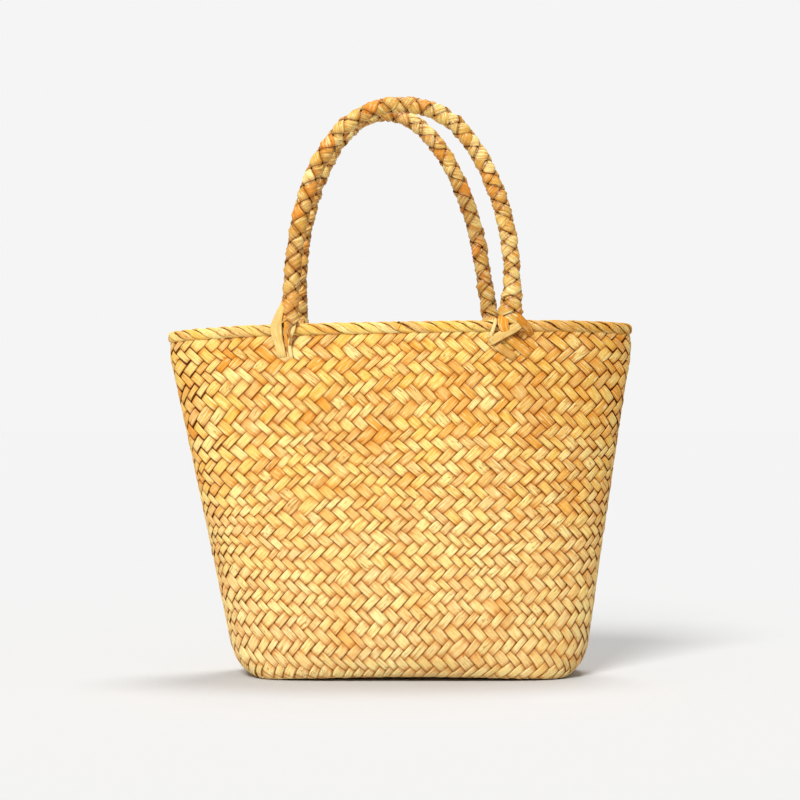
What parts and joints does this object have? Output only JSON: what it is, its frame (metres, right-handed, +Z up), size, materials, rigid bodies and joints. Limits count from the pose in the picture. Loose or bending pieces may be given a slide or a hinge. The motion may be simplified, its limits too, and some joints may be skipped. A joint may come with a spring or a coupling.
{
  "type": "straw basket bag",
  "caption": "Small open straw basket bag: a tapered, twill-woven body with a wrapped rim and two plaited arch handles tied through the wall.",
  "frame": {"origin": "on the surface that the bag stands on, under the middle of its base", "axes": "+Z up, +X along the bag's length, the front faces -Y"},
  "size_m": [0.3101, 0.106, 0.3828],
  "materials": {
    "woven_straw": "flat split straw, satin",
    "rim_straw": "wrapped straw, satin",
    "plaited_straw": "plaited straw, slightly glossy",
    "tie_straw": "flat straw, satin"
  },
  "bodies": {
    "root": {"basket_body": "woven_straw", "rim_braid": "rim_straw", "handle_front": "plaited_straw", "handle_back": "plaited_straw", "tie_front_left": "tie_straw", "tie_front_right": "tie_straw", "tie_back_left": "tie_straw", "tie_back_right": "tie_straw"}
  },
  "joints": []
}
